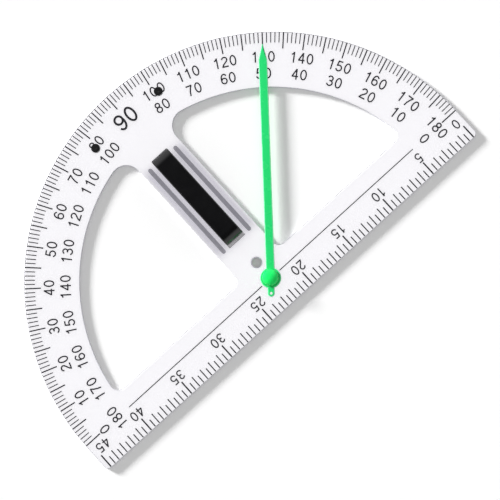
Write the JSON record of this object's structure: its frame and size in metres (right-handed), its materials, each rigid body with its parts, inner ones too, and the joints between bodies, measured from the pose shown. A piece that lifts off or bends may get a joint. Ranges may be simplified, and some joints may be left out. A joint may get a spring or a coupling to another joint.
{
  "type": "protractor",
  "caption": "Clear half-round protractor with degree and centimetre scales, a raised black handle on the middle web and a green pointer that turns about the centre.",
  "frame": {"origin": "centre of the degree scale, which is the pointer's pivot, on the plate's back face", "axes": "+X along the centre line towards 0 degrees on the inner row of numbers; +Y to 90 degrees, up the web; +Z out of the printed front, towards the handle"},
  "size_m": [0.46, 0.26, 0.034],
  "materials": {
    "clear_acrylic": "clear polished acrylic sheet with a very faint lavender tint",
    "printed_ink": "dark screen-printed ink",
    "black_plastic": "moulded black plastic, glossy",
    "insert_brass": "turned brass",
    "screw_steel": "zinc-plated steel",
    "plug_plastic": "moulded black plastic",
    "magnet_ferrite": "ground ferrite",
    "green_acrylic": "fluorescent green acrylic",
    "spacer_nylon": "natural nylon",
    "spring_steel": "bare spring steel",
    "green_cap": "bright green moulded plastic"
  },
  "bodies": {
    "base": {"plate": "clear_acrylic", "printed_scale": "printed_ink", "handle": "black_plastic", "handle_insert_lower": "insert_brass", "handle_insert_upper": "insert_brass", "handle_screw_lower": "screw_steel", "handle_screw_upper": "screw_steel", "magnet_plug_left": "plug_plastic", "magnet_plug_right": "plug_plastic", "magnet_left": "magnet_ferrite", "magnet_right": "magnet_ferrite", "pivot_screw": "screw_steel", "pivot_spacer": "spacer_nylon", "spring_washer": "spring_steel", "pivot_nut": "screw_steel", "pivot_cap": "green_cap"},
    "pointer": {"pointer": "green_acrylic"}
  },
  "joints": [
    {"name": "pointer_turn", "type": "hinge", "parent": "base", "child": "pointer", "pos_m": [0, 0, 0], "axis": [0, 0, 1], "range_deg": [-302, 22]}
  ]
}
